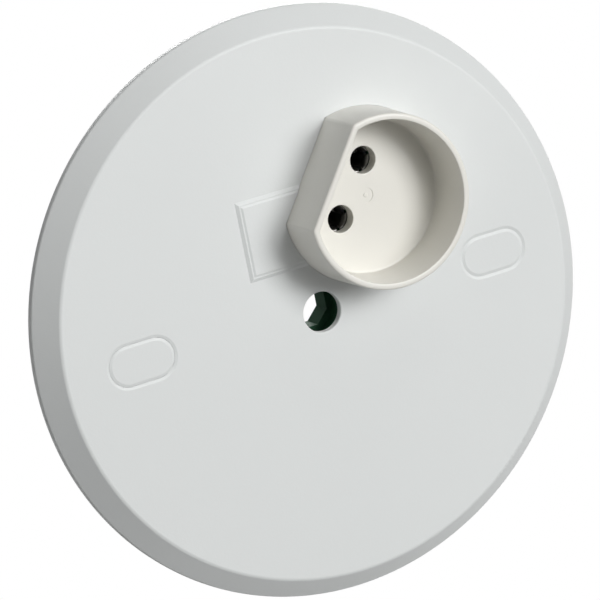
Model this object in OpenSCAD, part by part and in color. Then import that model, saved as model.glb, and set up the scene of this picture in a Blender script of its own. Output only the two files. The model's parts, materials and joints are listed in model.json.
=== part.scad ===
// Electrical ceiling rose with a two-pole lamp socket and a hook passage.
// A shallow round cover carries a D-shaped socket, and a dark moulded chassis
// behind it holds the socket, the contacts, the terminals and the fixing slots.
//
// Each piece is drawn face up, as on a bench: z = 0 is the ceiling plane and the
// front looks up +z. installed() then turns the rose over, so the finished part
// hangs under the ceiling with +Z up, into the ceiling, and its front facing down.
// The x axis runs through both fixing slots. socket_frame() gives the socket's
// own frame: x outward from the rose's centre along the pins, y towards the flat.

/* [Cover plate] */
// Outer diameter of the rose
cover_d = 115; // [112:0.5:124]
// Height of the front face below the ceiling
cover_h = 5.7; // [5.4:0.1:7]
// Height of the upright edge before the bevel starts
edge_h = 1.4; // [1:0.1:2.2]
// Width of the bevel, seen from the front
bevel_w = 4.25; // [3.5:0.25:6]
// Rounding where the edge meets the bevel
edge_round = 0.9; // [0.4:0.1:1.2]
// Rounding where the bevel meets the front face
face_round = 1; // [0.4:0.1:1.6]
// Wall of the front face
face_t = 1.5; // [1.2:0.1:1.8]
// Wall of the bevel
bevel_t = 1.6; // [1.2:0.1:2]
// Wall of the edge, where it meets the ceiling
rim_t = 1.8; // [1.4:0.1:2.4]

/* [Raised field] */
// Length of the raised field along the fixing line
field_l = 26.6; // [22:0.2:30]
// Width of the raised field
field_w = 15.7; // [12:0.1:18]
// Distance of the raised field's middle from the rose's centre
field_y = 16.3; // [14:0.1:18]
// Height of the raised field above the face
field_rise = 0.5; // [0.3:0.05:0.8]
// Depth of the frame line in the raised field
field_line_depth = 0.15; // [0.1:0.05:0.25]
// Width of its sloping edge
field_slope = 0.9; // [0.5:0.1:1.4]
// Width of the lower frame line inside the edge
field_line = 0.35; // [0.2:0.05:0.6]

/* [Hook passage] */
// Diameter of the hook hole in the cover
hook_hole_d = 7.85; // [7:0.05:8.4]
// How far the hook hole sits off the rose's centre, away from the socket
hook_shift = 1.1; // [0.5:0.1:2]
// Width across the flats of the passage's eight-sided rear end
passage_w = 8.4; // [8.2:0.1:9]
// Length of that eight-sided end
passage_l = 4.6; // [3:0.1:5.4]
// Diameter of the round bore in front of it
passage_bore_d = 11.2; // [10.4:0.1:11.4]
// Wall of the sleeve round the bore
sleeve_t = 0.8; // [0.7:0.05:0.9]
// Depth of the sleeve behind the ceiling plane
sleeve_depth = 6.3; // [5:0.1:9]

/* [Fixing] */
// Distance between the two fixing slots
fixing_pitch = 75.6; // [74:0.2:78]
// Width of a fixing slot
fixing_slot_w = 4.5; // [4:0.1:5]
// Length of a fixing slot, end to end
fixing_slot_l = 9.5; // [8:0.1:10.5]
// Length of a screw cover, end to end
cap_l = 13.2; // [12.6:0.1:14.4]
// Width of a screw cover
cap_w = 7.7; // [7.4:0.1:8.6]
// Thickness of a screw cover's head
cap_t = 0.8; // [0.6:0.05:1]
// Width of the ledge that the head rests on
cap_ledge = 0.35; // [0.3:0.05:0.6]
// Gap all round a screw cover
cap_gap = 0.12; // [0.08:0.01:0.2]
// Chamfer round a screw cover, and round its opening
cap_chamfer = 0.25; // [0.1:0.05:0.35]
// Height of a screw cover's skirt under its head
skirt_h = 1.6; // [1:0.1:2]
// Wall of that skirt
skirt_t = 0.8; // [0.6:0.05:1]
// Wall of the well round a fixing screw
well_t = 1.2; // [1:0.1:1.6]

/* [Socket] */
// Direction of the socket from the rose's centre, from the fixing line
socket_angle = 55; // [50:1:60]
// Distance of the socket's axis from the rose's centre
socket_offset = 22.8; // [22.4:0.1:24]
// Diameter of the collar where it leaves the cover
collar_d = 34.2; // [33.4:0.1:34.6]
// Height of the collar above the front face
collar_h = 11.7; // [10.6:0.1:14]
// Radius that the collar loses from its foot to its rim
collar_draft = 0.35; // [0.1:0.05:0.6]
// Wall of the collar at the rim
collar_t = 1.2; // [1:0.1:1.6]
// Wall of the collar under the floor
foot_t = 1.6; // [1.4:0.1:2]
// Distance of the flat side from the socket's axis
flat_y = 13.3; // [12.5:0.1:14]
// Depth of the recess from the rim to its floor
recess_depth = 10.65; // [9:0.05:11.2]
// Radius that the recess loses from its rim to its floor
recess_draft = 0.5; // [0.1:0.05:0.8]
// Thickness of the recess floor
floor_t = 2.5; // [1.8:0.1:2.8]
// Rounding of the collar's outer top edge
rim_round = 0.45; // [0.2:0.05:0.55]
// Distance between the two pin holes
pin_pitch = 12; // [11.6:0.1:12.6]
// Diameter of a pin hole
pin_hole_d = 5.3; // [5:0.1:5.6]
// Distance of the pins' line from the socket's axis, towards the flat
pin_line_y = 3.2; // [2.6:0.1:3.6]
// Diameter of the shallow gate mark in the floor
gate_d = 3.1; // [2:0.1:4]
// Depth of the gate mark
gate_depth = 0.15; // [0.1:0.05:0.3]
// Diameter of the dot in its middle
gate_dot_d = 0.6; // [0.4:0.1:1]
// Thickness of the flange that the cover clamps
flange_t = 1.8; // [1.5:0.1:2]
// How far the flange stands out past the collar
flange_lip = 1.5; // [1:0.1:1.8]

/* [Chassis] */
// Radius of the chassis plate
chassis_r = 34; // [33:0.5:36]
// Width of an ear that carries a fixing slot
ear_w = 15.6; // [15:0.1:17]
// How far an ear's round end reaches past the half circle round its slot's middle
ear_end = 0.6; // [0.2:0.1:1]
// Depth of the terminal housing behind the ceiling plane
housing_depth = 12; // [11.8:0.1:14]
// Wall of the housing
housing_t = 1.5; // [1.2:0.1:2]
// Corner radius of the housing
housing_corner = 3; // [2:0.5:4]
// Distance of the three chassis screws from the rose's centre
screw_circle_r = 29.5; // [29:0.1:30.4]
// Radius of a boss that takes a chassis screw
boss_r = 2.9; // [2.6:0.1:3.2]
// How far such a boss sinks into the chassis
boss_sink = 0.4; // [0.2:0.1:0.5]
// Thickness of the lid over the terminals
lid_t = 1.6; // [1.2:0.1:2]
// Length of the stiffening gussets round the sleeve
gusset_l = 17; // [12:0.5:19]
// Thickness of a gusset
gusset_t = 1.6; // [1.2:0.1:2.4]
// Height of a gusset at the sleeve
gusset_h = 5; // [3:0.1:5]
// Wall of the towers round the contacts
tower_t = 1.2; // [1:0.1:1.5]

/* [Contacts and terminals] */
// Inner diameter of a contact, for the plug's pin
contact_bore_d = 4; // [3.8:0.05:4.2]
// Sheet thickness of the contacts
contact_t = 0.7; // [0.5:0.05:0.8]
// Depth of a contact's lower end behind the ceiling plane
contact_depth = 9; // [8:0.1:10.4]
// Width of the slits between a contact's jaws
slit_w = 0.7; // [0.5:0.1:1]
// Width of the tail that joins a contact to its terminal
tail_w = 4.6; // [4:0.1:5]
// Depth of that tail behind the ceiling plane
tail_depth = 2.2; // [2:0.1:2.4]
// Distance of the spring below the tower's top
spring_drop = 2.2; // [2:0.1:3]
// Height of the spring round a contact's jaws
spring_h = 1.8; // [1.2:0.1:2.4]
// Wire thickness of that spring
spring_t = 0.4; // [0.3:0.05:0.5]
// Length of a terminal block along the wires
block_y = 7.6; // [7:0.1:8]
// Width of a terminal block
block_x = 8.2; // [8:0.1:8.4]
// Height of a terminal block
block_z = 7.2; // [6.4:0.1:7.4]
// Distance of the terminal blocks' middle from the socket's axis
block_line_y = -8.8; // [-9:0.1:-8.6]
// Diameter of a wire hole in a terminal block
wire_hole_d = 3.2; // [2.8:0.1:3.4]
// Distance between the two wire holes of a block
wire_pitch = 4.3; // [4.1:0.1:4.5]
// Diameter of a terminal screw
terminal_screw_d = 2.9; // [2.4:0.1:3]

/* [Screws] */
// Shank diameter of the chassis screws
chassis_screw_d = 2.6; // [2.4:0.1:2.8]
// Head diameter of the countersunk chassis screws
chassis_head_d = 5.2; // [5:0.1:5.4]
// Head height of the chassis screws
chassis_head_h = 1.3; // [1.1:0.1:1.3]
// Shank diameter of the lid screws
lid_screw_d = 2.2; // [2:0.1:2.4]
// Head diameter of the lid screws
lid_head_d = 4.2; // [3.8:0.1:4.6]
// Head height of the lid screws
lid_head_h = 1.4; // [1.2:0.1:1.8]
// Length of a lid screw in the housing
lid_screw_l = 7; // [6:0.5:7]
// Length of a terminal screw, backed out of the wire hole
terminal_screw_l = 3.8; // [3.4:0.1:3.8]
// Head height of the terminal screws
terminal_head_h = 1.4; // [1.2:0.1:1.6]

/* [Fits] */
// Gap round a screw in its hole
screw_gap = 0.05; // [0.03:0.01:0.1]
// Gap between moulded pieces that slip together
slip = 0.15; // [0.1:0.01:0.25]
// Gap round a terminal block in its pocket
pocket_gap = 0.2; // [0.15:0.05:0.3]
// Gap round a contact's spring in its well
well_gap = 0.3; // [0.2:0.05:0.4]
// How far the screw heads sit below the surface that they sink into
head_sink = 0.1; // [0.05:0.05:0.2]

/* [Hidden] */
$fn = 96;
eps = 0.01;
// How far a cutting body runs past what it cuts
past = 1;
// Longer than the socket is wide and high
far = 60;

plate_white = [0.84, 0.85, 0.84];
socket_white = [0.87, 0.87, 0.84];
chassis_green = [0.07, 0.16, 0.12];
brass = [0.80, 0.64, 0.32];
steel = [0.72, 0.73, 0.75];

// Cover section
cover_r = cover_d / 2;
face_r = cover_r - bevel_w;
bevel_angle = atan2(cover_h - edge_h, bevel_w);
seat_z = cover_h - face_t;
inner_edge_z = edge_h - bevel_t * cos(bevel_angle) + (rim_t - bevel_t * sin(bevel_angle)) * tan(bevel_angle);
inner_face_r = cover_r - bevel_t * sin(bevel_angle)
    - (seat_z - edge_h + bevel_t * cos(bevel_angle)) / tan(bevel_angle);
foot_round = 0.3;
chamfer = 0.2;

// Heights in the stack behind the face
chassis_t = seat_z - flange_t;
rim_z = cover_h + collar_h;
floor_z = rim_z - recess_depth;
floor_under_z = floor_z - floor_t;
tower_z = floor_under_z - slip;

// Socket plan
collar_r = collar_d / 2;
rim_r = collar_r - collar_draft;
recess_r = rim_r - collar_t;
recess_flat_y = flat_y - collar_draft - collar_t;
flange_r = collar_r + flange_lip;
under_r = collar_r - foot_t;
under_flat_y = flat_y - foot_t;

// Hook passage
sleeve_r = passage_bore_d / 2 + sleeve_t;

// Chassis screws sit at right angles to the socket
chassis_screw_angles = [for (turn = [90, 180, 270]) socket_angle + turn];
boss_seat_z = chassis_t - boss_sink;
pilot_skin = 0.8;
pilot_top_z = cover_h - pilot_skin;
tip_gap = 0.4;
chassis_screw_l = pilot_top_z - head_sink - tip_gap;

// Contacts, wells and terminals
contact_r = contact_bore_d / 2 + contact_t;
mouth_flare = 0.1;
mouth_t = 0.3;
mouth_r = contact_r + mouth_flare;
lead_in = 1;
well_r = contact_r + spring_t + well_gap;
tower_r = well_r + tower_t;
spring_top_z = tower_z - spring_drop;
pocket_top_z = pocket_gap - tail_depth;
block_top_z = -tail_depth - contact_t;
block_low_z = block_top_z - block_z;
block_shift = 0.5;
block_x_mid = pin_pitch / 2 + block_shift;
pocket_x_low = block_x_mid - block_x / 2 - pocket_gap;
pocket_x_high = block_x_mid + block_x / 2 + pocket_gap;
pocket_y_low = block_line_y - block_y / 2 - slip;
pocket_y_high = block_line_y + block_y / 2 + slip;
housing_x = pocket_x_high + housing_t;
housing_y_low = pocket_y_low - housing_t;
housing_y_high = pin_line_y + well_r + housing_t;
wire_drop = 3;
wire_z = block_top_z - wire_drop;
window_over = 0.8;
window_h = wire_hole_d + 2 * window_over;
window_beside = 0.3;
window_w = wire_pitch + wire_hole_d + 2 * window_beside;
head_lip = 0.4;
terminal_head_d = terminal_screw_d + 2 * head_lip;
terminal_seat_z = wire_z - wire_hole_d / 2 - screw_gap - terminal_screw_l;
lid_screw_ys = [pin_line_y, block_line_y];

// Ribs of the lid, which press on the terminal blocks
rib_w = 1.1;
rib_end_gap = 0.4;
rib_edge_gap = 0.2;

// Points along an arc, from angle a0 to a1 about a centre.
function arc(centre, r, a0, a1, steps = 5) =
    [for (i = [0:steps]) let (a = a0 + (a1 - a0) * i / steps) centre + r * [cos(a), sin(a)]];

// Outer half section of the cover, from its axis to the ceiling.
function cover_outline() = concat(
    [[0, cover_h]],
    arc([face_r - face_round * tan(bevel_angle / 2), cover_h - face_round], face_round, 90, 90 - bevel_angle),
    arc([cover_r - edge_round, edge_h - edge_round * tan((90 - bevel_angle) / 2)], edge_round,
        90 - bevel_angle, 0),
    arc([cover_r - foot_round, foot_round], foot_round, 0, -90, 3)
);

// Turns the rose over, from the bench to its place under the ceiling.
module installed() rotate([180, 0, 0]) children();

// The socket's own frame.
module socket_frame() rotate([0, 0, socket_angle]) translate([socket_offset, 0, 0]) children();

// The axis of the hook passage.
module at_hook() translate([0, -hook_shift, 0]) children();

// Both fixing positions.
module at_fixings() for (side = [-1, 1]) translate([side * fixing_pitch / 2, 0, 0]) children();

// The three chassis screws.
module at_chassis_screws(which = [0, 1, 2])
    for (i = which) rotate([0, 0, chassis_screw_angles[i]]) translate([screw_circle_r, 0, 0]) children();

// A block with round ends, lying along x.
module stadium(l, w, h) {
    reach = (l - w) / 2;
    for (side = [-1, 1]) translate([side * reach, 0, 0]) cylinder(d = w, h = h);
    translate([-reach, -w / 2, 0]) cube([2 * reach, w, h]);
}

// A stadium whose outline shrinks by inset from its foot to its top, or grows if inset is negative.
module stadium_taper(l, w, h, inset) {
    reach = (l - w) / 2;
    for (side = [-1, 1]) translate([side * reach, 0, 0]) cylinder(r1 = w / 2, r2 = w / 2 - inset, h = h);
    translate([-reach, 0, 0]) rotate([90, 0, 90]) linear_extrude(2 * reach)
        polygon([[-w / 2, 0], [w / 2, 0], [w / 2 - inset, h], [inset - w / 2, h]]);
}

// A block with rounded upright edges, between two corners of its plan.
module rounded_block(low, high, z0, z1, r) {
    for (x = [low.x + r, high.x - r], y = [low.y + r, high.y - r])
        translate([x, y, z0]) cylinder(r = r, h = z1 - z0);
    translate([low.x + r, low.y, z0]) cube([high.x - low.x - 2 * r, high.y - low.y, z1 - z0]);
    translate([low.x, low.y + r, z0]) cube([high.x - low.x, high.y - low.y - 2 * r, z1 - z0]);
}

// A rectangular frustum, sloping in on all four sides, with its foot at z = 0.
module field_block(l, w, h, slope) intersection() {
    translate([0, w / 2, 0]) rotate([90, 0, 0]) linear_extrude(w)
        polygon([[-l / 2, 0], [l / 2, 0], [l / 2 - slope, h], [slope - l / 2, h]]);
    translate([-l / 2, 0, 0]) rotate([90, 0, 90]) linear_extrude(l)
        polygon([[-w / 2, 0], [w / 2, 0], [w / 2 - slope, h], [slope - w / 2, h]]);
}

// A D-shaped block about the socket's axis.
module d_block(r, flat, z0, z1) intersection() {
    translate([0, 0, z0]) cylinder(r = r, h = z1 - z0);
    translate([-r - past, -r - past, z0]) cube([2 * (r + past), r + past + flat, z1 - z0]);
}

// A D-shaped solid with drafted walls: a revolved outline cut by an extruded one.
module d_solid(round_outline, flat_outline) intersection() {
    rotate_extrude() polygon(round_outline);
    translate([-far / 2, 0, 0]) rotate([90, 0, 90]) linear_extrude(far) polygon(flat_outline);
}

// Shank of a screw, from z = 0 down to its short tapered tip.
module shank(d, l) {
    tip = d * 0.3;
    translate([0, 0, tip - l]) cylinder(d = d, h = l - tip + eps);
    translate([0, 0, -l]) cylinder(d1 = d / 2, d2 = d, h = tip);
}

// Slot or cross recess for the screwdriver, cut from the bottom of the recess up.
module driver_recess(head_d, cross = true) {
    l = head_d * 0.72;
    w = head_d * 0.14;
    for (turn = cross ? [0, 90] : [0]) rotate([0, 0, turn]) translate([-l / 2, -w / 2, 0]) cube([l, w, past]);
}

// A screw seen from its rounded head: head from z = 0 up, shank from z = 0 down.
module screw(shank_d, shank_l, head_d, head_h, cross = true) {
    crown_r = head_h * 0.55;
    difference() {
        rotate_extrude() polygon(concat(
            [[0, 0], [head_d / 2, 0]],
            arc([head_d / 2 - crown_r, head_h - crown_r], crown_r, 0, 90, 4),
            [[0, head_h]]
        ));
        translate([0, 0, head_h / 2]) driver_recess(head_d, cross);
    }
    shank(shank_d, shank_l);
}

// A countersunk screw: its flat head's face is at z = 0, and the rest is below it.
module flat_screw(shank_d, shank_l, head_d, head_h) {
    difference() {
        translate([0, 0, -head_h]) cylinder(d1 = shank_d, d2 = head_d, h = head_h);
        translate([0, 0, -head_h * 0.45]) driver_recess(head_d);
    }
    translate([0, 0, -head_h]) shank(shank_d, shank_l - head_h);
}

// Matt white front: face, bevel and edge in one moulding.
module cover() color(plate_white) installed() difference() {
    union() {
        rotate_extrude() polygon(concat(cover_outline(), [
            [cover_r - rim_t, 0],
            [cover_r - rim_t, inner_edge_z],
            [inner_face_r, seat_z],
            [0, seat_z]
        ]));
        // Raised field, partly hidden by the socket
        translate([0, field_y, cover_h - eps]) difference() {
            field_block(field_l, field_w, field_rise + eps, field_slope);
            translate([0, 0, field_rise - field_line_depth]) difference() {
                field_block(field_l - 2 * field_slope, field_w - 2 * field_slope, field_rise, 0);
                translate([0, 0, -eps])
                    field_block(field_l - 2 * (field_slope + field_line), field_w - 2 * (field_slope + field_line),
                        field_rise + 2 * eps, 0);
            }
        }
        // Wells that stand on the ears, round the fixing screws
        at_fixings() translate([0, 0, chassis_t])
            stadium(cap_l + 2 * well_t - 2 * cap_ledge, cap_w + 2 * well_t - 2 * cap_ledge, seat_z - chassis_t + eps);
        // Bosses for the chassis screws
        at_chassis_screws() translate([0, 0, boss_seat_z]) cylinder(r = boss_r, h = seat_z - boss_seat_z + eps);
    }
    // Openings under the screw covers, with the ledge that their heads rest on
    at_fixings() {
        translate([0, 0, -eps]) stadium(cap_l - 2 * cap_ledge, cap_w - 2 * cap_ledge, cover_h);
        translate([0, 0, cover_h - cap_t]) stadium(cap_l + 2 * cap_gap, cap_w + 2 * cap_gap, cap_t + past);
        translate([0, 0, cover_h - cap_chamfer])
            stadium_taper(cap_l + 2 * cap_gap, cap_w + 2 * cap_gap, cap_chamfer + past, -cap_chamfer - past);
    }
    at_chassis_screws() cylinder(d = chassis_screw_d + 2 * screw_gap, h = pilot_top_z);
    at_hook() translate([0, 0, -past]) cylinder(d = hook_hole_d, h = cover_h + 2 * past);
    socket_frame() d_block(collar_r + slip, flat_y + slip, -past, cover_h + field_rise + past);
}

// Flush oval cover over a fixing screw, held by its skirt.
module screw_cover(side) color(plate_white) installed() translate([side * fixing_pitch / 2, 0, 0]) {
    hole_l = cap_l - 2 * cap_ledge;
    hole_w = cap_w - 2 * cap_ledge;
    translate([0, 0, cover_h - cap_t]) stadium(cap_l, cap_w, cap_t - cap_chamfer);
    translate([0, 0, cover_h - cap_chamfer]) stadium_taper(cap_l, cap_w, cap_chamfer, cap_chamfer);
    translate([0, 0, cover_h - cap_t - skirt_h]) difference() {
        stadium(hole_l - 2 * cap_gap, hole_w - 2 * cap_gap, skirt_h + eps);
        translate([0, 0, -eps])
            stadium(hole_l - 2 * cap_gap - 2 * skirt_t, hole_w - 2 * cap_gap - 2 * skirt_t, skirt_h);
    }
}
module screw_cover_left() screw_cover(-1);
module screw_cover_right() screw_cover(1);

// Glossy white socket: collar, recess floor and the flange behind the cover.
module socket_body() color(socket_white) installed() difference() {
    socket_frame() difference() {
        union() {
            d_solid(
                concat([[0, chassis_t], [collar_r, chassis_t], [collar_r, cover_h]],
                    arc([rim_r - rim_round, rim_z - rim_round], rim_round, 0, 90, 4), [[0, rim_z]]),
                concat([[-far / 2, chassis_t], [flat_y, chassis_t], [flat_y, cover_h]],
                    arc([flat_y - collar_draft - rim_round, rim_z - rim_round], rim_round, 0, 90, 4),
                    [[-far / 2, rim_z]])
            );
            d_block(flange_r, flat_y + flange_lip, chassis_t, seat_z);
        }
        // Recess for the plug
        d_solid(
            [[0, floor_z], [recess_r - recess_draft, floor_z], [recess_r, rim_z - chamfer],
                [recess_r + 2 * chamfer, rim_z + chamfer], [0, rim_z + chamfer]],
            [[-far / 2, floor_z], [recess_flat_y - recess_draft, floor_z], [recess_flat_y, rim_z - chamfer],
                [recess_flat_y + 2 * chamfer, rim_z + chamfer], [-far / 2, rim_z + chamfer]]
        );
        // Hollow under the floor, for the contact towers
        d_block(under_r, under_flat_y, chassis_t - eps, floor_under_z);
        for (side = [-1, 1]) translate([side * pin_pitch / 2, pin_line_y, 0]) cylinder(d = pin_hole_d, h = rim_z);
        translate([0, 0, floor_z - gate_depth]) difference() {
            cylinder(d = gate_d, h = past);
            cylinder(d = gate_dot_d, h = gate_depth - eps);
        }
    }
    at_hook() translate([0, 0, -past]) cylinder(r = sleeve_r + slip, h = cover_h);
}

// Space that a contact and its terminal take inside the housing.
module pole_space(side) {
    open_z = -housing_depth - past;
    translate([side * pin_pitch / 2, pin_line_y, open_z]) cylinder(r = well_r, h = far);
    translate([side * pin_pitch / 2 - tail_w / 2 - slip, pocket_y_high - past, open_z])
        cube([tail_w + 2 * slip, pin_line_y - pocket_y_high + past, pocket_top_z - open_z]);
    mirror([side < 0 ? 1 : 0, 0, 0]) {
        translate([pocket_x_low, pocket_y_low, open_z])
            cube([pocket_x_high - pocket_x_low, pocket_y_high - pocket_y_low, pocket_top_z - open_z]);
        translate([block_x_mid - window_w / 2, housing_y_low - past, wire_z - window_h / 2])
            cube([window_w, pocket_y_low - housing_y_low + 2 * past, window_h]);
    }
}

// Dark green moulding that carries everything and takes the load of the fixing screws.
module chassis() color(chassis_green) installed() difference() {
    union() {
        cylinder(r = chassis_r, h = chassis_t);
        stadium(fixing_pitch + ear_w + 2 * ear_end, ear_w, chassis_t);
        at_hook() translate([0, 0, -sleeve_depth]) cylinder(r = sleeve_r, h = sleeve_depth + seat_z);
        for (angle = chassis_screw_angles) rotate([0, 0, angle]) translate([0, gusset_t / 2, 0])
            rotate([90, 0, 0]) linear_extrude(gusset_t)
                polygon([[0, eps], [sleeve_r + gusset_l, eps], [sleeve_r, -gusset_h], [0, -gusset_h]]);
        socket_frame() {
            d_block(flange_r, flat_y + flange_lip, 0, chassis_t);
            rounded_block([-housing_x, housing_y_low], [housing_x, housing_y_high], -housing_depth, eps, housing_corner);
            // Towers that guard the contacts, up under the socket's floor
            for (side = [-1, 1]) translate([side * pin_pitch / 2, pin_line_y, 0]) cylinder(r = tower_r, h = tower_z);
        }
    }
    // Hook passage: a round bore in front, and a narrower eight-sided rear end
    at_hook() translate([0, 0, -sleeve_depth]) {
        translate([0, 0, passage_l]) cylinder(d = passage_bore_d, h = sleeve_depth + seat_z + past);
        translate([0, 0, -past]) rotate([0, 0, 22.5])
            cylinder(d = passage_w / cos(22.5), h = passage_l + 2 * past, $fn = 8);
    }
    at_fixings() translate([0, 0, -past]) stadium(fixing_slot_l, fixing_slot_w, chassis_t + 2 * past);
    at_chassis_screws() {
        translate([0, 0, boss_seat_z]) cylinder(r = boss_r + slip, h = chassis_t);
        translate([0, 0, -past]) cylinder(d = chassis_screw_d + 2 * screw_gap, h = far);
        // Countersink, so that the head stays clear of the ceiling
        translate([0, 0, -past]) cylinder(d = chassis_head_d + 2 * screw_gap, h = past + head_sink + eps);
        translate([0, 0, head_sink])
            cylinder(d1 = chassis_head_d + 2 * screw_gap, d2 = chassis_screw_d + 2 * screw_gap, h = chassis_head_h);
    }
    socket_frame() {
        for (side = [-1, 1]) pole_space(side);
        for (y = lid_screw_ys) translate([0, y, -housing_depth - eps])
            cylinder(d = lid_screw_d + 2 * screw_gap, h = lid_screw_l + pocket_gap);
    }
}

// Lid that insulates the terminals, with holes for the screwdriver and ribs on the blocks.
module terminal_lid() color(chassis_green) installed() socket_frame() difference() {
    union() {
        rounded_block([-housing_x, housing_y_low], [housing_x, housing_y_high], -housing_depth - lid_t, -housing_depth,
            housing_corner);
        for (side = [-1, 1])
            translate([side * block_x_mid - block_x / 2 + rib_end_gap, block_line_y - block_y / 2 + rib_edge_gap,
                -housing_depth - eps])
                cube([block_x - 2 * rib_end_gap, rib_w, housing_depth + block_low_z + eps]);
    }
    for (side = [-1, 1], i = [-1, 1])
        translate([side * block_x_mid + i * wire_pitch / 2, block_line_y, -housing_depth - lid_t - past])
            cylinder(d = terminal_head_d + 2 * slip, h = lid_t + 2 * past);
    for (y = lid_screw_ys) translate([0, y, -housing_depth - lid_t - past])
        cylinder(d = lid_screw_d + 2 * slip, h = lid_t + 2 * past);
}

// Brass contact: a slit tube with a flared mouth, and a flat tail out to its terminal.
module contact(side) color(brass) installed() socket_frame() translate([side * pin_pitch / 2, pin_line_y, 0]) {
    r = contact_bore_d / 2;
    top = tower_z - pocket_gap;
    difference() {
        rotate_extrude() polygon([
            [r, -contact_depth], [contact_r, -contact_depth], [contact_r, top - lead_in / 2], [mouth_r, top],
            [mouth_r - mouth_t, top], [r, top - lead_in]
        ]);
        for (turn = [45, 135]) rotate([0, 0, turn]) translate([-far / 2, -slit_w / 2, -past])
            cube([far, slit_w, top + 2 * past]);
    }
    difference() {
        translate([-tail_w / 2, block_line_y - block_y / 2 - pin_line_y, block_top_z])
            cube([tail_w, pin_line_y - block_line_y + block_y / 2, contact_t]);
        translate([0, 0, block_top_z - past]) cylinder(r = r + contact_t / 2, h = contact_t + 2 * past);
    }
}
module contact_inner() contact(-1);
module contact_outer() contact(1);

// Steel spring that keeps a contact's jaws closed on the pin.
module contact_spring(side) color(steel) installed() socket_frame()
    translate([side * pin_pitch / 2, pin_line_y, spring_top_z - spring_h]) difference() {
        cylinder(r = contact_r + spring_t, h = spring_h);
        translate([0, 0, -past]) cylinder(r = contact_r, h = spring_h + 2 * past);
        translate([0, -slit_w / 2, -past]) cube([far, slit_w, spring_h + 2 * past]);
    }
module contact_spring_inner() contact_spring(-1);
module contact_spring_outer() contact_spring(1);

// Brass block with two wire holes and two threaded holes for its screws.
module terminal(side) color(brass) installed() socket_frame() translate([side * block_x_mid, block_line_y, 0])
    difference() {
        translate([-block_x / 2, -block_y / 2, block_low_z]) cube([block_x, block_y, block_z]);
        for (i = [-1, 1]) translate([i * wire_pitch / 2, 0, 0]) {
            translate([0, block_y / 2 + past, wire_z]) rotate([90, 0, 0])
                cylinder(d = wire_hole_d, h = block_y + 2 * past);
            translate([0, 0, block_low_z - past])
                cylinder(d = terminal_screw_d + 2 * screw_gap, h = wire_z - block_low_z + past);
        }
    }
module terminal_inner() terminal(-1);
module terminal_outer() terminal(1);

// Slotted screw that clamps a wire in its terminal block, backed out to leave the wire hole open.
module terminal_screw(side, i) color(steel) installed() socket_frame()
    translate([side * block_x_mid + i * wire_pitch / 2, block_line_y, terminal_seat_z]) mirror([0, 0, 1])
        screw(terminal_screw_d, terminal_screw_l, terminal_head_d, terminal_head_h, cross = false);
module terminal_screw_inner_1() terminal_screw(-1, -1);
module terminal_screw_inner_2() terminal_screw(-1, 1);
module terminal_screw_outer_1() terminal_screw(1, -1);
module terminal_screw_outer_2() terminal_screw(1, 1);

// Countersunk screw that draws the chassis and the cover together on the socket's flange.
module chassis_screw(i) color(steel) installed() at_chassis_screws([i]) translate([0, 0, head_sink])
    mirror([0, 0, 1]) flat_screw(chassis_screw_d, chassis_screw_l, chassis_head_d, chassis_head_h);
module chassis_screw_1() chassis_screw(0);
module chassis_screw_2() chassis_screw(1);
module chassis_screw_3() chassis_screw(2);

// Screw that holds the lid on the housing.
module lid_screw(i) color(steel) installed() socket_frame()
    translate([0, lid_screw_ys[i], -housing_depth - lid_t]) mirror([0, 0, 1])
        screw(lid_screw_d, lid_screw_l + lid_t, lid_head_d, lid_head_h);
module lid_screw_1() lid_screw(0);
module lid_screw_2() lid_screw(1);

cover();
screw_cover_left();
screw_cover_right();
socket_body();
chassis();
terminal_lid();
contact_inner();
contact_outer();
contact_spring_inner();
contact_spring_outer();
terminal_inner();
terminal_outer();
terminal_screw_inner_1();
terminal_screw_inner_2();
terminal_screw_outer_1();
terminal_screw_outer_2();
chassis_screw_1();
chassis_screw_2();
chassis_screw_3();
lid_screw_1();
lid_screw_2();
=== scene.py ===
# %% [markdown]
# # A ceiling rose with a two-pole lamp socket
#
# This lesson dresses a finished CAD model of an electrical ceiling rose. The rose hangs under a ceiling: +Z points up
# into the ceiling, so its white front looks down along -Z. The CAD model is the fixed frame. We import it, model the
# pieces that the eye rests on again with soft edges, and give every piece a material with the detail of the real one.

import json
import math

import bpy
from mathutils import Matrix, Vector

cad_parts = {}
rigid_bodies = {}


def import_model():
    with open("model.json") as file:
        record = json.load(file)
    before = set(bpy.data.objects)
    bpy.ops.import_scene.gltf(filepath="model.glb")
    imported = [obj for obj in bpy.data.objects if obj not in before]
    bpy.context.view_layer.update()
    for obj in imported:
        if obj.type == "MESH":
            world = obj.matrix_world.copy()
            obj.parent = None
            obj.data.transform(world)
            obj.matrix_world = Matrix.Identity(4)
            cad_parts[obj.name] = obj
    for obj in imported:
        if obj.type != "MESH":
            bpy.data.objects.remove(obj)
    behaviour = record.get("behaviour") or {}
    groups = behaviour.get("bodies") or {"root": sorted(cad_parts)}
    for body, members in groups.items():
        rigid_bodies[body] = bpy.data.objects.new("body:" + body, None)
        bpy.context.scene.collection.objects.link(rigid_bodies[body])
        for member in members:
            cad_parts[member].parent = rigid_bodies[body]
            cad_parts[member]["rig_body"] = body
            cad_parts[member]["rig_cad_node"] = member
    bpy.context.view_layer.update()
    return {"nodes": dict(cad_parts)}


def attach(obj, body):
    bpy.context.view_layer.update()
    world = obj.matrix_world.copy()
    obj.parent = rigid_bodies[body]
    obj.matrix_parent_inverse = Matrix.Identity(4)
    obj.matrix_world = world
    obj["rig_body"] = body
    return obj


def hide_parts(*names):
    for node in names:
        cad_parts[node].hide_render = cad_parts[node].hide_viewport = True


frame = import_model()
nodes = frame["nodes"]
MM = 0.001

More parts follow.
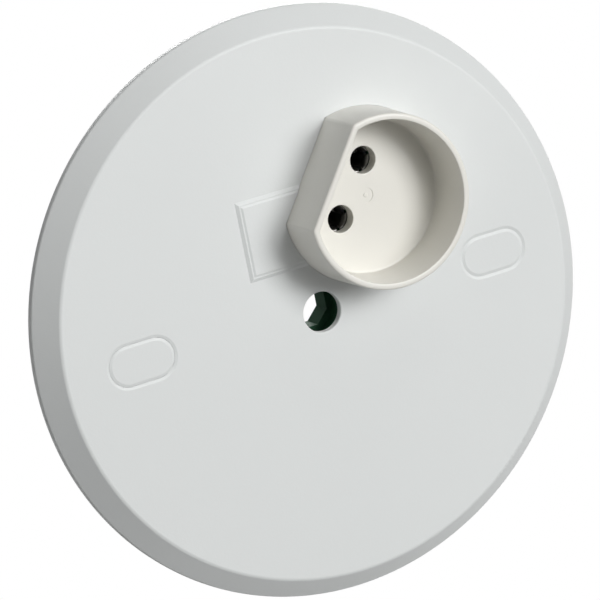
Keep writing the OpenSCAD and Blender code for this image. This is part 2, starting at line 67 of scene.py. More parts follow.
# %% [markdown]
# ## The camera
#
# The photograph was taken from about 0.7 m away with a long lens, from below and to the left of the rose. Its place
# was worked out by fitting a pinhole camera to the round outline, the two ovals and the socket, so we type the result
# in as a matrix: its columns are the camera's right, up and backward directions, and its place in metres.

# %% Make the camera
camera = bpy.data.objects.new("photo_camera", bpy.data.cameras.new("photo_camera"))
bpy.context.scene.collection.objects.link(camera)
camera.data.sensor_width = 36
camera.data.lens = 213.22
camera.data.clip_start, camera.data.clip_end = 0.05, 60
camera.matrix_world = Matrix((
    (0.88362851, 0.27590689, -0.37825394, -0.259146),
    (0.19049503, -0.94988364, -0.24785625, -0.169642),
    (-0.42768248, 0.14695736, -0.89190315, -0.607221),
    (0, 0, 0, 1),
))
bpy.context.scene.camera = camera
print("camera distance in mm:", round(camera.location.length / MM))

# %% [markdown]
# ## Ways of working
#
# An operator acts on whatever is selected, and loading the CAD model leaves all of it selected. These helpers take one
# piece at a time, and pick its faces, edges or vertices by where they are, as a hand would pick them by eye.

# %% Helpers that select
def take(piece):
    """Select this piece alone and make it the active one."""
    if bpy.context.mode != "OBJECT":
        bpy.ops.object.mode_set(mode="OBJECT")
    for other in bpy.context.view_layer.objects:
        other.select_set(False)
    piece.select_set(True)
    bpy.context.view_layer.objects.active = piece


def pick(piece, kind, wanted):
    """Enter edit mode with the vertices, edges or faces selected for which wanted() is true."""
    take(piece)
    mesh = piece.data
    for parts in (mesh.vertices, mesh.edges, mesh.polygons):
        parts.foreach_set("select", [False] * len(parts))
    if kind == "FACE":
        for face in mesh.polygons:
            face.select = wanted(face.center, face.normal)
    elif kind == "EDGE":
        for edge in mesh.edges:
            a, b = (mesh.vertices[i].co for i in edge.vertices)
            edge.select = wanted(a, b)
    else:
        for vertex in mesh.vertices:
            vertex.select = wanted(vertex.co)
    bpy.context.tool_settings.mesh_select_mode = (kind == "VERT", kind == "EDGE", kind == "FACE")
    bpy.ops.object.mode_set(mode="EDIT")


def near(value, target, slack=0.02 * MM):
    """True if two lengths agree to within a fiftieth of a millimetre."""
    return abs(value - target) < slack


print("helpers ready, in mode", bpy.context.mode)

# %% Helpers that shape
def inset(thickness, depth=0.0):
    """Inset the selected faces by thickness, and move the new inner faces by depth along their normal."""
    bpy.ops.mesh.inset(thickness=thickness, depth=depth, use_even_offset=True)


def round_edges(piece, wanted, width, segments=3):
    """Round the edges for which wanted() is true."""
    pick(piece, "EDGE", wanted)
    bpy.ops.mesh.bevel(offset=width, offset_type="OFFSET", segments=segments, affect="EDGES")
    take(piece)


def combine(piece, tool, operation="DIFFERENCE"):
    """Cut a tool piece from this one, or weld it on, and throw the tool away."""
    take(piece)
    modifier = piece.modifiers.new(operation.lower(), "BOOLEAN")
    modifier.operation, modifier.solver, modifier.object = operation, "EXACT", tool
    bpy.ops.object.modifier_apply(modifier=modifier.name)
    bpy.data.objects.remove(tool)


def settle(piece, matrix, angle=35):
    """Turn a finished piece into its place, keep that place in its mesh, and smooth its shading."""
    take(piece)
    piece.matrix_world = matrix
    bpy.ops.object.transform_apply(location=True, rotation=True, scale=True)
    bpy.ops.object.shade_smooth_by_angle(angle=math.radians(angle))
    weighted = piece.modifiers.new("weighted", "WEIGHTED_NORMAL")
    weighted.keep_sharp = True
    bpy.ops.object.modifier_apply(modifier=weighted.name)
    low = [min(v.co[i] for v in piece.data.vertices) / MM for i in range(3)]
    high = [max(v.co[i] for v in piece.data.vertices) / MM for i in range(3)]
    print(piece.name, len(piece.data.polygons), "faces, mm from", [round(x, 2) for x in low],
          "to", [round(x, 2) for x in high])


def named(name):
    """Name the piece that was just added, and its mesh."""
    piece = bpy.context.active_object
    piece.name = piece.data.name = name
    return piece


# Each piece is modelled face up, as on a bench, and then turned over.
FACE_DOWN = Matrix.Rotation(math.pi, 4, "X")
SOCKET_TURN, SOCKET_X = math.radians(55), 22.8 * MM
SOCKET_ON_BENCH = Matrix.Rotation(SOCKET_TURN, 4, "Z") @ Matrix.Translation((SOCKET_X, 0, 0))
SOCKET_PLACE = FACE_DOWN @ SOCKET_ON_BENCH
HOOK, HOOK_R = Vector((0, -1.1 * MM, 0)), 3.925 * MM
print("the socket's axis meets the ceiling at", [round(x / MM, 1) for x in SOCKET_PLACE.translation])

# %% [markdown]
# ## The socket: a D-shaped collar
#
# The plug goes into a deep recess with one flat side, so that it fits in one way only. The collar could be cut out of
# a cylinder, but then its wall would have to be measured at the rim and the floor. Insetting does that for us: each
# inset moves the outline inwards by the same distance all round, along the arc and along the flat, and its depth
# makes the drafted wall that lets such a moulding leave its mould.

# %% Start the collar as a disc with one flat side
COLLAR_R, FLAT_Y = 17.1 * MM, 13.3 * MM
# Heights above the ceiling plane: the chassis's front, the cover's inside and outside, the rim and the recess's floor.
CHASSIS_TOP, SEAT, FACE, RIM, FLOOR = (h * MM for h in (2.4, 4.2, 5.7, 17.4, 6.75))
take(nodes["cover"])
bpy.ops.mesh.primitive_circle_add(vertices=200, radius=COLLAR_R, fill_type="NGON", location=(0, 0, 0))
collar = named("socket_collar")
take(collar)
bpy.ops.object.mode_set(mode="EDIT")
bpy.ops.mesh.select_all(action="SELECT")
bpy.ops.mesh.bisect(plane_co=(0, FLAT_Y, 0), plane_no=(0, 1, 0), clear_outer=True)
bpy.ops.mesh.select_all(action="SELECT")
bpy.ops.transform.translate(value=(0, 0, CHASSIS_TOP))
CORNER = Vector((math.sqrt(COLLAR_R ** 2 - FLAT_Y ** 2), FLAT_Y))
pick(collar, "VERT", lambda p: p.y < FLAT_Y - 0.02 * MM and (Vector((abs(p.x), p.y)) - CORNER).length < 0.9 * MM)
bpy.ops.mesh.dissolve_verts()
pick(collar, "VERT", lambda p: near(p.y, FLAT_Y) and abs(p.x) > 5 * MM)
bpy.ops.mesh.bevel(offset=0.5 * MM, segments=4, affect="VERTICES")
take(collar)
print("outline points:", len(collar.data.vertices))

# %% Raise the collar and sink the recess
OUTER_DRAFT, RIM_W, INNER_DRAFT = 0.35 * MM, 1.2 * MM, 0.5 * MM
pick(collar, "FACE", lambda c, n: True)
if collar.data.polygons[0].normal.z < 0:
    bpy.ops.mesh.flip_normals()
bpy.ops.mesh.extrude_region_move(TRANSFORM_OT_translate={"value": (0, 0, SEAT - CHASSIS_TOP)})
bpy.ops.mesh.extrude_region_move(TRANSFORM_OT_translate={"value": (0, 0, FACE - SEAT)})
inset(OUTER_DRAFT, RIM - FACE)
inset(RIM_W)
inset(INNER_DRAFT, FLOOR - RIM)
take(collar)
print("collar faces:", len(collar.data.polygons), "floor at", round(min(
    f.center.z for f in collar.data.polygons if f.normal.z > 0.9) / MM, 2))

# %% [markdown]
# The flange is clamped between the cover and the chassis. It is the lowest ring of the collar's side, pushed outwards,
# and it gives way to the sleeve of the hook passage beside it.
# Under the floor the moulding is hollow, because thick plastic shrinks and leaves dents. The selected faces of an
# operator stay selected, so the flange and the hollow each need one pick.

# %% Push out the flange and hollow the foot
FLANGE_W, FOOT_WALL, HOLLOW_DEPTH, SLEEVE_ROOM_R = 1.5 * MM, 1.6 * MM, 1.85 * MM, 6.55 * MM
pick(collar, "FACE", lambda c, n: abs(n.z) < 0.5 and c.z < SEAT)
bpy.ops.mesh.extrude_region_shrink_fatten(TRANSFORM_OT_shrink_fatten={"value": FLANGE_W, "use_even_offset": True})
pick(collar, "FACE", lambda c, n: n.z < -0.9 and near(c.z, CHASSIS_TOP) and c.xy.length < 6 * MM)
inset(FOOT_WALL)
inset(0.02 * MM, -HOLLOW_DEPTH)
take(collar)
hook_side = Matrix.Rotation(-SOCKET_TURN, 4, "Z") @ HOOK - Vector((SOCKET_X, 0, 0))
bpy.ops.mesh.primitive_cylinder_add(vertices=64, radius=SLEEVE_ROOM_R, depth=FACE, location=(*hook_side.xy, FACE / 2))
combine(collar, bpy.context.active_object)
print("flange reaches", round(max(v.co.x for v in collar.data.vertices) / MM, 2), "mm from the socket's axis")

# %% [markdown]
# ## The pin holes and the rounded rim
#
# The two pins of the plug stand on a line 3.2 mm towards the flat. A cylinder cuts each hole, and a small rounding
# leads the pin in. The rim is rounded more outside than inside, and a fillet joins the recess's wall to its floor.

# %% Cut the pin holes and the gate mark
PINS, PIN_HOLE_R = [Vector((side * 6 * MM, 3.2 * MM, 0)) for side in (-1, 1)], 2.65 * MM
GATE_R, GATE_STEP, GATE_DOT_R = 1.55 * MM, 0.1 * MM, 0.45 * MM
for pin in PINS:
    bpy.ops.mesh.primitive_cylinder_add(vertices=72, radius=PIN_HOLE_R, depth=10 * MM, location=(pin.x, pin.y, FLOOR))
    combine(collar, bpy.context.active_object)
bpy.ops.mesh.primitive_cylinder_add(vertices=48, radius=GATE_R, depth=1 * MM,
                                    location=(0, 0, FLOOR + 0.5 * MM - GATE_STEP))
gate = named("gate_tool")
pick(gate, "FACE", lambda c, n: n.z < -0.9)
inset(GATE_R - GATE_DOT_R)
inset(0.1 * MM, -GATE_STEP)
combine(collar, gate)
print("collar faces with its holes:", len(collar.data.polygons))

# %% Round the rim, the floor and the holes
def beside_flat(p, reach, slack=0.3 * MM):
    """True for a point on the D-shaped outline that is reach wide of the socket's axis, its flat included."""
    return abs(min(reach - p.xy.length, reach - (COLLAR_R - FLAT_Y) - p.y)) < slack


def on_outline(z, reach):
    """A test for edges of the D-shaped outline at one height."""
    return lambda a, b: all(near(p.z, z) and beside_flat(p, reach) for p in (a, b))


def on_pin_hole(z):
    """A test for the edges of the pin holes at one height."""
    return lambda a, b: any(all(near(p.z, z) and near((p - pin).xy.length, PIN_HOLE_R) for p in (a, b)) for pin in PINS)


RIM_R = COLLAR_R - OUTER_DRAFT
round_edges(collar, on_outline(RIM, RIM_R), 0.45 * MM, 5)
round_edges(collar, on_outline(RIM, RIM_R - RIM_W), 0.2 * MM, 3)
round_edges(collar, on_outline(FLOOR, RIM_R - RIM_W - INNER_DRAFT), 0.4 * MM, 4)
round_edges(collar, on_pin_hole(FLOOR), 0.18 * MM, 3)
settle(collar, SOCKET_PLACE)
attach(collar, "root")
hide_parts("socket_body")

# %% [markdown]
# ## The cover: a shallow dish
#
# The cover is one thin moulding: a flat face, a broad bevel and a low upright edge. It could be a profile spun round
# its axis. A disc that is extruded once and inset twice gives the same shape in fewer steps, with the wall's thickness
# typed in where a mould maker would type it.

# %% Raise the outside and hollow the back
COVER_R, EDGE_H, BEVEL_W = 57.5 * MM, 1.4 * MM, 4.25 * MM
FOOT_W, FOOT_H, SLOPE_W = 1.8 * MM, 0.93 * MM, 3.2 * MM
bpy.ops.mesh.primitive_circle_add(vertices=288, radius=COVER_R, fill_type="NGON", location=(0, 0, 0))
plate = named("cover_plate")
pick(plate, "FACE", lambda c, n: True)
if plate.data.polygons[0].normal.z < 0:
    bpy.ops.mesh.flip_normals()
bpy.ops.mesh.extrude_region_move(TRANSFORM_OT_translate={"value": (0, 0, EDGE_H)})
inset(BEVEL_W, FACE - EDGE_H)
pick(plate, "FACE", lambda c, n: n.z < -0.9)
inset(FOOT_W)
inset(0.02 * MM, -FOOT_H)
inset(SLOPE_W, FOOT_H - SEAT)
take(plate)
print("inside of the face at", round(max(f.center.z for f in plate.data.polygons if f.normal.z < -0.9) / MM, 2), "mm")

# %% Round the edge, the foot and the crease of the face
def ring(z, radius):
    """A test for the edges of a circle round the cover's axis."""
    return lambda a, b: all(near(p.z, z) and near(p.xy.length, radius, 0.1 * MM) for p in (a, b))


round_edges(plate, ring(FACE, COVER_R - BEVEL_W), 0.42 * MM, 6)
round_edges(plate, ring(EDGE_H, COVER_R), 0.37 * MM, 6)
round_edges(plate, ring(0, COVER_R), 0.3 * MM, 4)
print("cover faces:", len(plate.data.polygons))

# %% [markdown]
# ## The raised field, wells and bosses
#
# A low rectangular field lies half under the socket. Its edge rises in two slopes, with a narrow flat between them.
# Behind the face stand two wells round the fixing screws and three bosses for the screws of the chassis. Each is
# made as a block of its own and welded on, so that the shapes run into each other as in one moulding.

# %% Weld on the raised field
FIELD_L, FIELD_W, FIELD_Y, BURIED = 26.6 * MM, 15.7 * MM, 16.3 * MM, 0.4 * MM
bpy.ops.mesh.primitive_cube_add(size=1, location=(0, FIELD_Y, FACE - BURIED / 2))
field = named("field_block")
field.scale = (FIELD_L, FIELD_W, BURIED)
bpy.ops.object.transform_apply(location=True, rotation=False, scale=True)
pick(field, "FACE", lambda c, n: n.z > 0.9)
bpy.ops.transform.translate(value=(0, 0, 0.001 * MM))
inset(0.65 * MM, 0.34 * MM)
inset(0.25 * MM)
inset(0.4 * MM, 0.16 * MM)
combine(plate, field, "UNION")
print("cover faces with the field:", len(plate.data.polygons))


# %% Weld on the wells and bosses
def stadium(name, length, width, low, high, points=64):
    """A block with round ends along x, from height low to high: a cylinder whose halves are pulled apart."""
    bpy.ops.mesh.primitive_cylinder_add(vertices=points, radius=width / 2, depth=high - low,
                                        location=(0, 0, (low + high) / 2), rotation=(0, 0, math.pi / points))
    piece = named(name)
    bpy.ops.object.transform_apply(location=True, rotation=True, scale=False)
    for side in (-1, 1):
        pick(piece, "VERT", lambda p: p.x * side > 0)
        bpy.ops.transform.translate(value=(side * (length - width) / 2, 0, 0))
    take(piece)
    return piece


def moved(piece, x, y=0.0):
    """Slide a tool sideways and keep its new place in its mesh."""
    take(piece)
    piece.location = (x, y, 0)
    bpy.ops.object.transform_apply(location=True, rotation=False, scale=False)
    return piece


FIXINGS = [side * 37.8 * MM for side in (-1, 1)]
WELL, WELL_BORE = (14.9 * MM, 9.4 * MM), (12.5 * MM, 7 * MM)
CAP_L, CAP_W, LINE_GAP = 13.36 * MM, 7.86 * MM, 0.04 * MM
LEDGE_L, LEDGE_W, LEDGE_Z = CAP_L + 2 * LINE_GAP, CAP_W + 2 * LINE_GAP, 4.9 * MM
GROOVE_W, GROOVE_DEPTH = 0.55 * MM, 0.17 * MM
BOSS_R, PILOT_R = 2.9 * MM, 1.35 * MM
BOSSES = [Vector((math.cos(a), math.sin(a), 0)) * 29.5 * MM for a in map(math.radians, (145, 235, 325))]
for x in FIXINGS:
    combine(plate, moved(stadium("well", *WELL, CHASSIS_TOP, SEAT + 0.3 * MM), x), "UNION")
for boss in BOSSES:
    bpy.ops.mesh.primitive_cylinder_add(vertices=48, radius=BOSS_R, depth=2.5 * MM, location=(*boss.xy, 3.25 * MM))
    combine(plate, bpy.context.active_object, "UNION")
print("cover faces with wells and bosses:", len(plate.data.polygons))

# %% Cut the openings
for x in FIXINGS:
    combine(plate, moved(stadium("bore", *WELL_BORE, 0, 8 * MM), x))
    combine(plate, moved(stadium("ledge", LEDGE_L, LEDGE_W, LEDGE_Z, 8 * MM), x))
    slope = stadium("slope", LEDGE_L + 2 * GROOVE_W, LEDGE_W + 2 * GROOVE_W, FACE, 8 * MM)
    pick(slope, "FACE", lambda c, n: n.z < -0.9)
    inset(GROOVE_W, GROOVE_DEPTH)
    combine(plate, moved(slope, x))
for boss in BOSSES:
    bpy.ops.mesh.primitive_cylinder_add(vertices=32, radius=PILOT_R, depth=4.9 * MM, location=(*boss.xy, 2.45 * MM))
    combine(plate, bpy.context.active_object)
bpy.ops.mesh.primitive_cylinder_add(vertices=96, radius=HOOK_R, depth=20 * MM, location=(*HOOK.xy, 5 * MM))
combine(plate, bpy.context.active_object)
bpy.ops.mesh.primitive_cylinder_add(vertices=200, radius=COLLAR_R + LINE_GAP, depth=12 * MM, location=(0, 0, 6 * MM))
opening = named("socket_opening")
bpy.ops.object.transform_apply(location=True, rotation=False, scale=False)
bpy.ops.object.mode_set(mode="EDIT")
bpy.ops.mesh.select_all(action="SELECT")
bpy.ops.mesh.bisect(plane_co=(0, FLAT_Y + LINE_GAP, 0), plane_no=(0, 1, 0), clear_outer=True, use_fill=True)
take(opening)
opening.matrix_world = SOCKET_ON_BENCH
bpy.ops.object.transform_apply(location=True, rotation=True, scale=True)
combine(plate, opening)
print("cover faces with its openings:", len(plate.data.polygons))

# %% Round the edge of the hook hole
SLIGHT_CREASE = 16
round_edges(plate, lambda a, b: all(near(p.z, FACE) and near((p - HOOK).xy.length, HOOK_R) for p in (a, b)),
            0.25 * MM, 6)
settle(plate, FACE_DOWN, SLIGHT_CREASE)
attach(plate, "root")
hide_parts("cover")

# %% [markdown]
# ## The oval screw covers
#
# Each fixing screw is hidden under a flush oval cap, which shows only as a shallow groove. The cap's slope is one bank
# of that groove, and the slope cut into the cover is the other. One cap is modelled, with the skirt that grips its
# well, and the other is a copy with a mesh of its own.

# %% Model one cap and copy it
SKIRT_IN, SKIRT_T, SKIRT_H = 0.47 * MM, 0.8 * MM, 1.6 * MM
cap = stadium("oval_cap_left", CAP_L, CAP_W, LEDGE_Z, FACE)
pick(cap, "FACE", lambda c, n: n.z < -0.9)
inset(SKIRT_IN)
bpy.ops.mesh.extrude_region_move(TRANSFORM_OT_translate={"value": (0, 0, -SKIRT_H)})
inset(SKIRT_T)
bpy.ops.mesh.extrude_region_move(TRANSFORM_OT_translate={"value": (0, 0, SKIRT_H)})
pick(cap, "FACE", lambda c, n: n.z > 0.9 and near(c.z, FACE))
bpy.ops.transform.translate(value=(0, 0, -GROOVE_DEPTH))
inset(GROOVE_W, GROOVE_DEPTH)
round_edges(cap, lambda a, b: near(a.z, LEDGE_Z - SKIRT_H) and near(b.z, LEDGE_Z - SKIRT_H), 0.12 * MM, 2)
take(cap)
bpy.ops.object.duplicate()
other_cap = named("oval_cap_right")
for piece, x, node in ((cap, FIXINGS[0], "screw_cover_left"), (other_cap, FIXINGS[1], "screw_cover_right")):
    settle(piece, FACE_DOWN @ Matrix.Translation((x, 0, 0)), SLIGHT_CREASE)
    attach(piece, "root")
    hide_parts(node)

# %% [markdown]
# ## Soft edges for the parts behind
#
# The chassis, its lid, the terminals and the screws already have the right shape in the CAD model, but their edges
# are razor sharp, which no moulded or turned part has. A CAD mesh is never changed, so we copy it, merge its loose
# triangles into whole faces, and let a Bevel modifier round every real edge by a little.

# %% Copy a CAD node with rounded edges
def softened(node, name, width, segments=2):
    """A copy of a CAD node with its edges rounded by width, which stands for that node."""
    piece = nodes[node].copy()
    piece.data = nodes[node].data.copy()
    piece.parent = None
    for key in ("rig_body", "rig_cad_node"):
        del piece[key]
    bpy.context.scene.collection.objects.link(piece)
    piece.name = piece.data.name = name
    take(piece)
    if piece.data.has_custom_normals:
        bpy.ops.mesh.customdata_custom_splitnormals_clear()
    pick(piece, "VERT", lambda p: True)
    bpy.ops.mesh.remove_doubles(threshold=0.002 * MM)
    bpy.ops.mesh.dissolve_limited(angle_limit=math.radians(1))
    take(piece)
    bevel = piece.modifiers.new("soft_edges", "BEVEL")
    bevel.width, bevel.segments, bevel.limit_method, bevel.angle_limit = width, segments, "ANGLE", math.radians(40)
    bevel.use_clamp_overlap = True
    bpy.ops.object.modifier_apply(modifier=bevel.name)
    settle(piece, Matrix.Identity(4))
    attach(piece, "root")
    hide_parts(node)
    return piece


chassis = softened("chassis", "chassis_moulding", 0.2 * MM)
lid = softened("terminal_lid", "terminal_lid_moulding", 0.2 * MM)

# %% Soften the metal parts
contacts, blocks, springs, screws = [], [], [], []
SCREW_EDGE = 0.06 * MM
for pole in ("inner", "outer"):
    contacts.append(softened("contact_" + pole, "contact_tube_" + pole, 0.08 * MM))
    blocks.append(softened("terminal_" + pole, "terminal_block_" + pole, 0.15 * MM))
    springs.append(softened("contact_spring_" + pole, "spring_ring_" + pole, 0.05 * MM))
    for i in (1, 2):
        screws.append(softened(f"terminal_screw_{pole}_{i}", f"clamp_screw_{pole}_{i}", SCREW_EDGE))
for i in (1, 2, 3):
    screws.append(softened(f"chassis_screw_{i}", f"countersunk_screw_{i}", SCREW_EDGE))
for i in (1, 2):
    screws.append(softened(f"lid_screw_{i}", f"lid_screw_head_{i}", SCREW_EDGE))
print("metal pieces:", len(contacts + blocks + springs + screws))

# %% [markdown]
# ## Shared effects for the materials
#
# Three effects come back in several materials, so each is a node group: the fine grain that a mould leaves, slow
# patches of slightly different colour and gloss, and wear along edges, which on the contacts is also a painted glint.
# Groups give out only masks and heights, and each material uses them in its own strength.

# %% Start a node group
def new_group(name, inputs, outputs):
    """An empty shader node group with number inputs {name: value} and number outputs."""
    group = bpy.data.node_groups.new(name, "ShaderNodeTree")
    for label, value in inputs.items():
        group.interface.new_socket(name=label, in_out="INPUT", socket_type="NodeSocketFloat").default_value = value
    for label in outputs:
        group.interface.new_socket(name=label, in_out="OUTPUT", socket_type="NodeSocketFloat")
    return group, group.nodes.new("NodeGroupInput"), group.nodes.new("NodeGroupOutput")


def feed(tree, socket, value):
    """Give a socket a number, or link the output of another node to it."""
    if isinstance(value, (int, float)):
        socket.default_value = value
    else:
        tree.links.new(value, socket)


def math_node(tree, operation, a, b, clamp=False):
    """A Math node on two numbers or sockets, giving its output."""
    node = tree.nodes.new("ShaderNodeMath")
    node.operation, node.use_clamp = operation, clamp
    for socket, value in zip(node.inputs, (a, b)):
        feed(tree, socket, value)
    return node.outputs[0]


def noise(tree, coordinates, scale, detail=4.0, roughness=0.5):
    """A Noise Texture node over the given coordinates, giving its height."""
    node = tree.nodes.new("ShaderNodeTexNoise")
    tree.links.new(coordinates, node.inputs["Vector"])
    for label, value in (("Scale", scale), ("Detail", detail), ("Roughness", roughness)):
        feed(tree, node.inputs[label], value)
    return node.outputs["Fac"]


# %% Group one: the grain a mould leaves
grain, grain_in, grain_out = new_group("mould_grain", {"Size": 1800.0}, ["Height"])
where = grain.nodes.new("ShaderNodeTexCoord").outputs["Object"]
fine = noise(grain, where, grain_in.outputs["Size"], 3, 0.6)
coarse = noise(grain, where, 420, 2, 0.5)
height = math_node(grain, "ADD", math_node(grain, "MULTIPLY", fine, 0.7), math_node(grain, "MULTIPLY", coarse, 0.3))
grain.links.new(height, grain_out.inputs["Height"])

# %% Group two: slow patches
patches, patches_in, patches_out = new_group("slow_patches", {"Scale": 30.0}, ["Mask"])
where = patches.nodes.new("ShaderNodeTexCoord").outputs["Object"]
soft = noise(patches, where, patches_in.outputs["Scale"], 1, 0.5)
sharpen = patches.nodes.new("ShaderNodeMapRange")
sharpen.interpolation_type = "SMOOTHERSTEP"
sharpen.inputs["From Min"].default_value, sharpen.inputs["From Max"].default_value = 0.25, 0.75
patches.links.new(soft, sharpen.inputs["Value"])
patches.links.new(sharpen.outputs["Result"], patches_out.inputs["Mask"])

# %% [markdown]
# A corner rubs off first. The Bevel node gives the normal that the surface would have if its edges were rounder, and
# where that differs from the real one there is an edge. A noise breaks the mask up, so that the wear isn't a drawn
# line. On the contacts the same mask also carries a painted glint.

# %% Group three: wear and a painted glint along edges
edges, edges_in, edges_out = new_group("edge_wear_and_glint", {"Radius": 0.0003, "Strength": 1.0}, ["Mask"])
rounder = edges.nodes.new("ShaderNodeBevel")
rounder.samples = 4
edges.links.new(edges_in.outputs["Radius"], rounder.inputs["Radius"])
real = edges.nodes.new("ShaderNodeNewGeometry")
dot = edges.nodes.new("ShaderNodeVectorMath")
dot.operation = "DOT_PRODUCT"
edges.links.new(rounder.outputs["Normal"], dot.inputs[0])
edges.links.new(real.outputs["Normal"], dot.inputs[1])
differs = math_node(edges, "SUBTRACT", 1.0, dot.outputs["Value"])
broken = noise(edges, edges.nodes.new("ShaderNodeTexCoord").outputs["Object"], 700, 4, 0.7)
worn_and_glint = math_node(edges, "MULTIPLY", differs, broken)
mask = math_node(edges, "MULTIPLY", worn_and_glint, edges_in.outputs["Strength"], clamp=True)
edges.links.new(mask, edges_out.inputs["Mask"])
print("node groups:", [g.name for g in (grain, patches, edges)])


# %% [markdown]
# ## The materials
#
# All the finishes are built in the same way: a base colour with slow patches, a little wear on the edges, which on the
# contacts is also a painted glint, and a fine grain as a very small bump. The numbers differ: the cover is matt and
# grainy, the chassis is dark green and dull, and the socket is smooth and shinier.

# %% One recipe for every finish
def make_material(name, colours, roughness, spread, grain_size, grain_height, patch_scale=30, wear_and_glint_radius=0.3 * MM,
                  metallic=0.0, specular=0.5):
    """A material with patches, bright edges and grain. Its colours are the base's, the patches' and the edges', which
    stand for rubbed edges and, on the contacts, also a painted glint.
    """
    material = bpy.data.materials.new(name)
    material.use_nodes = True
    tree = material.node_tree
    shader = tree.nodes["Principled BSDF"]
    shader.inputs["Metallic"].default_value = metallic
    shader.inputs["Specular IOR Level"].default_value = specular
    patch, wear_and_glint, relief = (tree.nodes.new("ShaderNodeGroup") for _ in range(3))
    patch.node_tree, wear_and_glint.node_tree, relief.node_tree = patches, edges, grain
    patch.inputs["Scale"].default_value = patch_scale
    wear_and_glint.inputs["Radius"].default_value = wear_and_glint_radius
    relief.inputs["Size"].default_value = grain_size
    first, second = (tree.nodes.new("ShaderNodeMix") for _ in range(2))
    for mix in (first, second):
        mix.data_type = "RGBA"
    base, patched, worn_and_glint = ((*colour, 1) for colour in colours)
    first.inputs["A"].default_value, first.inputs["B"].default_value = base, patched
    second.inputs["B"].default_value = worn_and_glint
    tree.links.new(patch.outputs["Mask"], first.inputs["Factor"])
    tree.links.new(first.outputs["Result"], second.inputs["A"])
    tree.links.new(wear_and_glint.outputs["Mask"], second.inputs["Factor"])
    tree.links.new(second.outputs["Result"], shader.inputs["Base Color"])
    gloss = math_node(tree, "ADD", roughness, math_node(tree, "MULTIPLY", patch.outputs["Mask"], spread))
    tree.links.new(gloss, shader.inputs["Roughness"])
    bump = tree.nodes.new("ShaderNodeBump")
    bump.inputs["Strength"].default_value = 1.0
    bump.inputs["Distance"].default_value = grain_height
    tree.links.new(relief.outputs["Height"], bump.inputs["Height"])
    tree.links.new(bump.outputs["Normal"], shader.inputs["Normal"])
    return material


plate_white = make_material("plate_white_matt", ((0.672, 0.69, 0.684), (0.667, 0.685, 0.679), (0.73, 0.74, 0.73)),
                            0.5, 0.03, 2200, 0.02 * MM)
socket_white = make_material("socket_white_gloss", ((0.735, 0.722, 0.672), (0.727, 0.714, 0.664), (0.775, 0.763, 0.72)),
                             0.32, 0.03, 900, 0.004 * MM)
chassis_green = make_material("chassis_green_moulded",
                              ((0.055, 0.15, 0.088), (0.042, 0.115, 0.067), (0.08, 0.19, 0.12)),
                              0.5, 0.03, 1200, 0.012 * MM, specular=0.02)
print("plastics:", plate_white.name, socket_white.name, chassis_green.name)

# %% [markdown]
# The metals follow the same plan, with finer grain, smaller patches and narrower wear. Brass darkens in patches where
# air and fingers reach it, and the zinc on a screw is cloudy. Both are rougher in the dark patches, which makes their
# reflections change over the surface. The contacts' plating is painted darker, as painted shade inside the pin holes,
# and their bright edges are partly rubbing and partly a painted glint.

# %% The metals
METAL = {"grain_size": 3000, "grain_height": 0.006 * MM, "wear_and_glint_radius": 0.15 * MM, "metallic": 1.0}
# The contacts' plating is painted dark as painted shade, so that the pin holes read black; their bright edge colour is
# partly rubbed metal and partly a painted glint at the holes' mouths.
contact_painted_shade_glint = make_material("contact_plated_painted_shade_glint", ((0.3, 0.295, 0.28), (0.17, 0.165, 0.15), (0.95, 0.94, 0.9)),
                              0.3, 0.15, patch_scale=300, **METAL)
brass = make_material("brass_drawn", ((0.78, 0.58, 0.28), (0.55, 0.38, 0.17), (0.9, 0.74, 0.42)),
                      0.22, 0.18, patch_scale=260, **METAL)
spring_steel = make_material("spring_steel_blue", ((0.55, 0.56, 0.6), (0.38, 0.39, 0.43), (0.75, 0.76, 0.8)),
                             0.25, 0.15, patch_scale=300, **METAL)
screw_zinc = make_material("screw_zinc", ((0.68, 0.69, 0.71), (0.5, 0.51, 0.53), (0.82, 0.83, 0.85)),
                           0.28, 0.2, patch_scale=350, **METAL)
print("metals:", contact_painted_shade_glint.name, brass.name, spring_steel.name, screw_zinc.name)


# %% Put each finish on its pieces
def dress(pieces, material):
    """Give these pieces one material each, in place of what they had."""
    for piece in pieces:
        piece.data.materials.clear()
        piece.data.materials.append(material)


dress([plate, cap, other_cap], plate_white)
dress([collar], socket_white)
dress([chassis, lid], chassis_green)
dress(contacts, contact_painted_shade_glint)
dress(blocks, brass)
dress(springs, spring_steel)
dress(screws, screw_zinc)

# %% [markdown]
# ## Room, light and background
#
# The rose hangs under a ceiling 2.4 m above a pale floor. Three soft lamps close together, below it and to the right,
# act as one wide lamp and give the photograph's light: bright bevel at the top right, shade at the lower left. Weaker
# lamps at its sides fill the shade, and one above lights the back for other views. The background is white to the
# camera and to reflections, while the light that it sheds stays low.

# %% White background and weak room light
def seen_directly(tree):
    """A mask that is 1 for the camera, for reflections and for light through glass, and 0 for diffuse light."""
    rays = tree.nodes.new("ShaderNodeLightPath").outputs
    seen = math_node(tree, "ADD", rays["Is Camera Ray"], rays["Is Glossy Ray"])
    return math_node(tree, "ADD", seen, rays["Is Transmission Ray"], clamp=True)


world = bpy.data.worlds.new("studio")
bpy.context.scene.world = world
world.use_nodes = True
sky = world.node_tree
strength = math_node(sky, "ADD", 0.01, math_node(sky, "MULTIPLY", seen_directly(sky), 0.99))
sky.nodes["Background"].inputs["Color"].default_value = (1, 1, 1, 1)
sky.links.new(strength, sky.nodes["Background"].inputs["Strength"])

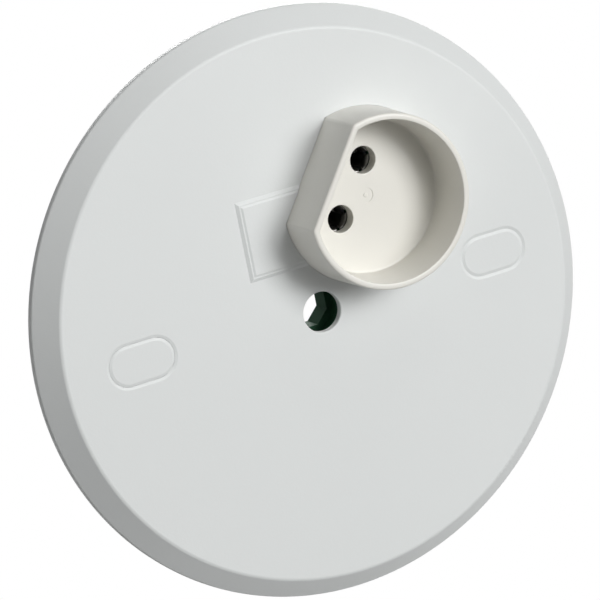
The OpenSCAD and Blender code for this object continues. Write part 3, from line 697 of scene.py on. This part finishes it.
# %% The floor, pale near the rose and white far away
bpy.ops.mesh.primitive_circle_add(vertices=96, radius=12, fill_type="NGON", location=(0, 0, -2.4))
floor = named("studio_floor")
bpy.ops.object.transform_apply(location=True, rotation=False, scale=False)
floor_paint = bpy.data.materials.new("pale_floor")
floor_paint.use_nodes = True
tree = floor_paint.node_tree
reach = tree.nodes.new("ShaderNodeVectorMath")
reach.operation = "LENGTH"
tree.links.new(tree.nodes.new("ShaderNodeTexCoord").outputs["Object"], reach.inputs[0])
fade = tree.nodes.new("ShaderNodeMapRange")
for label, value in (("From Min", 3.0), ("From Max", 6.0), ("To Min", 0.85), ("To Max", 1.0)):
    fade.inputs[label].default_value = value
tree.links.new(reach.outputs["Value"], fade.inputs["Value"])
tree.nodes["Principled BSDF"].inputs["Base Color"].default_value = (0.8, 0.8, 0.8, 1)
tree.nodes["Principled BSDF"].inputs["Roughness"].default_value = 0.9
white = tree.nodes.new("ShaderNodeEmission")
mix = tree.nodes.new("ShaderNodeMixShader")
tree.links.new(math_node(tree, "MULTIPLY", seen_directly(tree), fade.outputs["Result"]), mix.inputs["Fac"])
tree.links.new(tree.nodes["Principled BSDF"].outputs["BSDF"], mix.inputs[1])
tree.links.new(white.outputs["Emission"], mix.inputs[2])
tree.links.new(mix.outputs["Shader"], tree.nodes["Material Output"].inputs["Surface"])
dress([floor], floor_paint)


# %% Soft lamps
def soft_lamp(name, place, size, watts):
    """A square soft lamp at a place, pointing at the rose, that the camera doesn't see."""
    lamp = bpy.data.objects.new(name, bpy.data.lights.new(name, "AREA"))
    bpy.context.scene.collection.objects.link(lamp)
    lamp.data.shape, lamp.data.size, lamp.data.energy = "SQUARE", size, watts
    lamp.location = place
    lamp.rotation_euler = (-Vector(place)).to_track_quat("-Z", "Y").to_euler()
    lamp.visible_camera = False
    return lamp


# Each line says a lamp's name, its place and size in metres, and its power in watts.
LAMPS = (
    ("key_right", (0.897, -0.272, -1.576), 0.7, 13.9),
    ("key_top", (0.665, -0.661, -1.576), 0.7, 12.0),
    ("key_front", (0.455, -0.452, -1.711), 0.7, 5.9),
    ("side_fill", (-1.228, -0.265, -0.336), 0.6, 1.9),
    ("corner_fill", (-0.62, -1.04, -0.336), 0.6, 1.1),
    ("top_fill", (0.35, -1.206, -0.336), 0.6, 1.8),
    ("below_fill", (-0.35, 1.206, -0.336), 0.6, 2.1),
    ("back_lamp", (0.32, -0.34, 0.85), 0.6, 7.0),
)
print("lamps:", [soft_lamp(*lamp).name for lamp in LAMPS])

# %% [markdown]
# ## Finish
#
# The display keeps colours as they are written.

# %% Keep colours as written and finish
bpy.context.scene.view_settings.view_transform = "Standard"
take(plate)
